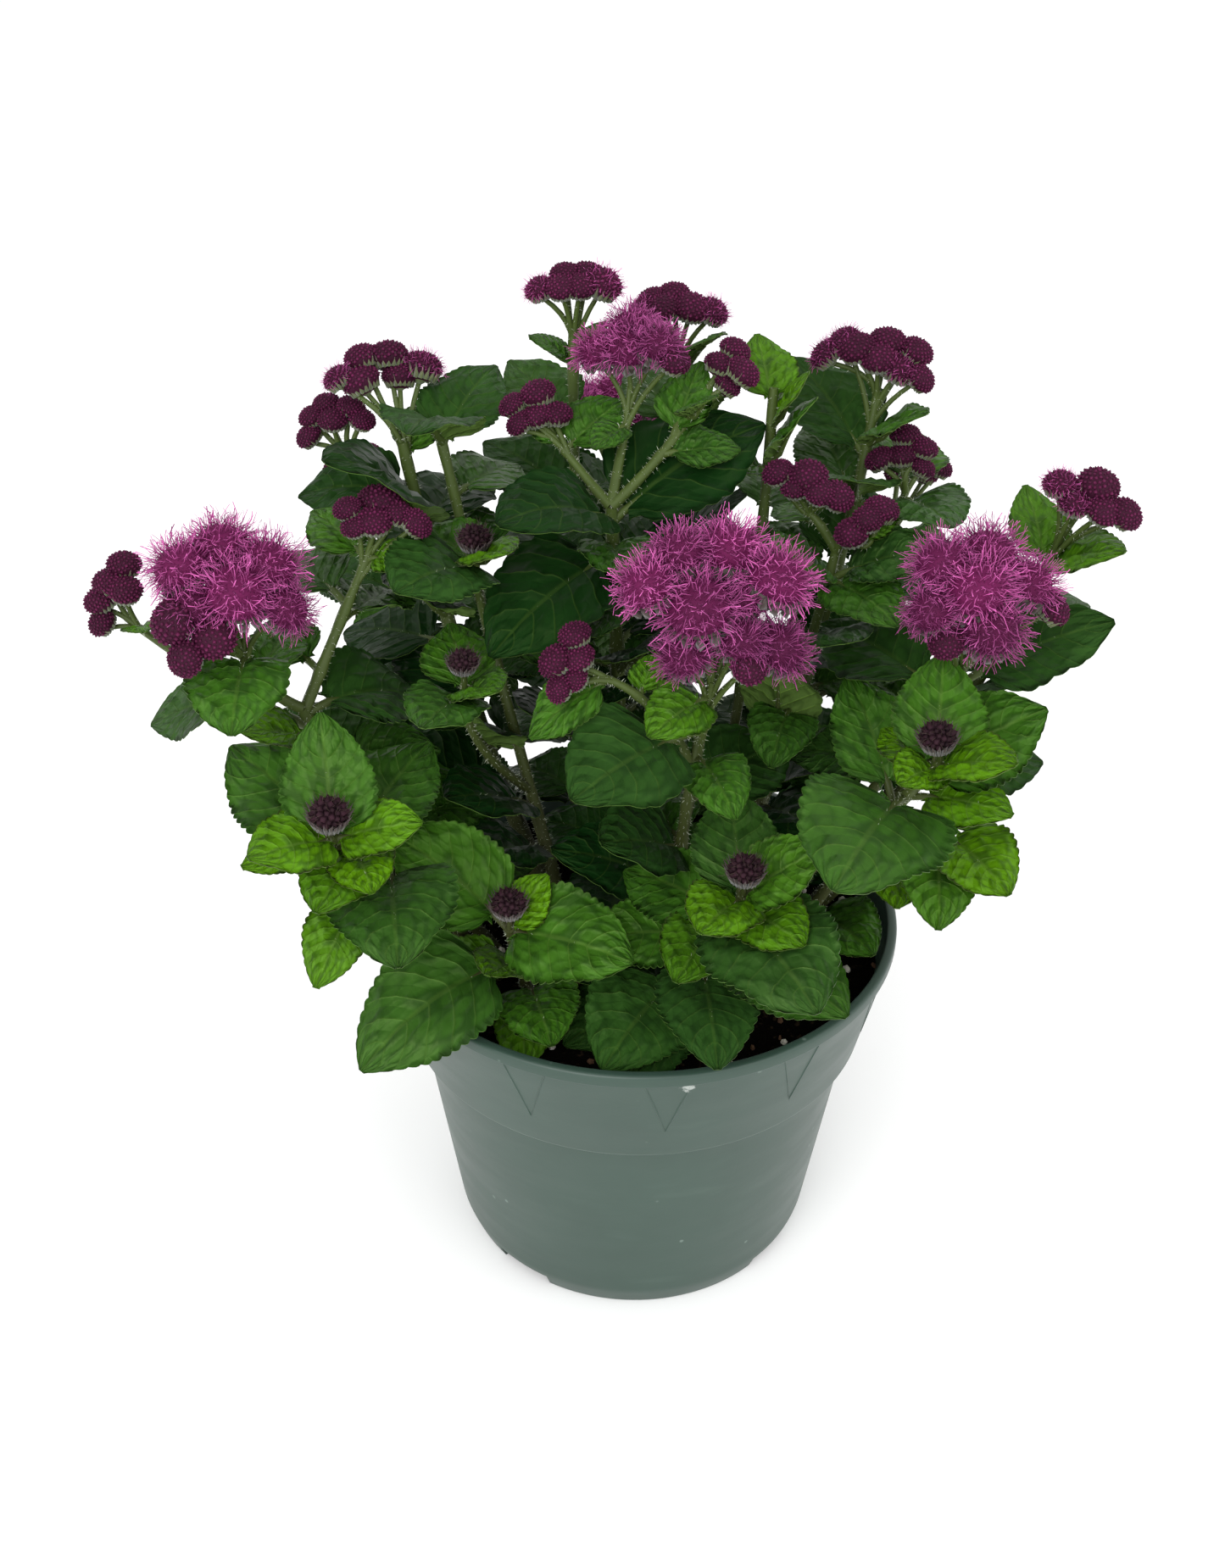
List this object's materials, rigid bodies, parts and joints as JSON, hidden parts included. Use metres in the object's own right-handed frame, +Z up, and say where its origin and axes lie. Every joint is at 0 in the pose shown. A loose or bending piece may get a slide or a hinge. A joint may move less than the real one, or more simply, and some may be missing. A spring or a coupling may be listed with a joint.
{
  "type": "potted flowering plant",
  "caption": "Ageratum bedding plant with toothed oval leaves, closed burgundy flower heads and open magenta tufted heads, standing in a tapered plastic nursery pot of soil.",
  "frame": {"origin": "middle of the pot's flat underside, where it rests", "axes": "+Z up through the pot's middle, -Y the front, +X to the right seen from the front"},
  "size_m": [0.2899, 0.2234, 0.3023],
  "materials": {
    "pot": "satin grey-green moulded plastic",
    "soil": "damp crumbly potting soil with pale grains",
    "foliage": "matte puckered leaf with a soft sheen, on hairy pale green stems",
    "buds": "velvety closed florets",
    "open_florets": "soft thread-like florets",
    "young_buds": "downy"
  },
  "bodies": {
    "root": {"pot": "pot", "soil": "soil", "rosette_front": "foliage", "young_front": "young_buds", "rosette_left": "foliage", "young_left": "young_buds", "rosette_middle": "foliage", "young_middle": "young_buds", "rosette_right": "foliage", "young_right": "young_buds", "leafy_stem_low_right": "foliage", "bloom_stem_middle": "foliage", "bloom_middle": "open_florets", "cluster_small": "buds", "bloom_stem_right": "foliage", "bloom_right": "open_florets", "bloom_stem_left": "foliage", "bloom_left": "open_florets", "cluster_left": "buds", "cluster_far_left": "buds", "bud_stem_upper_left": "foliage", "cluster_upper_left": "buds", "cluster_left_back": "buds", "leafy_stem_left": "foliage", "young_left_top": "young_buds", "young_left_low": "young_buds", "bud_stem_top": "foliage", "cluster_top_left": "buds", "bloom_top": "open_florets", "cluster_top_right": "buds", "bud_stem_back_left": "foliage", "cluster_top": "buds", "bud_stem_back_right": "foliage", "cluster_back_top": "buds", "leafy_stem_right": "foliage", "bud_stem_upper_right": "foliage", "cluster_upper_right": "buds", "cluster_right_back": "buds", "bud_stem_far_right": "foliage", "cluster_far_right": "buds", "bud_stem_right": "foliage", "cluster_right": "buds", "cluster_right_low": "buds", "bud_stem_rear_left": "foliage", "cluster_rear_left": "buds", "bloom_stem_rear": "foliage", "bloom_rear": "open_florets", "bud_stem_rear_right": "foliage", "cluster_rear_right": "buds"}
  },
  "joints": []
}
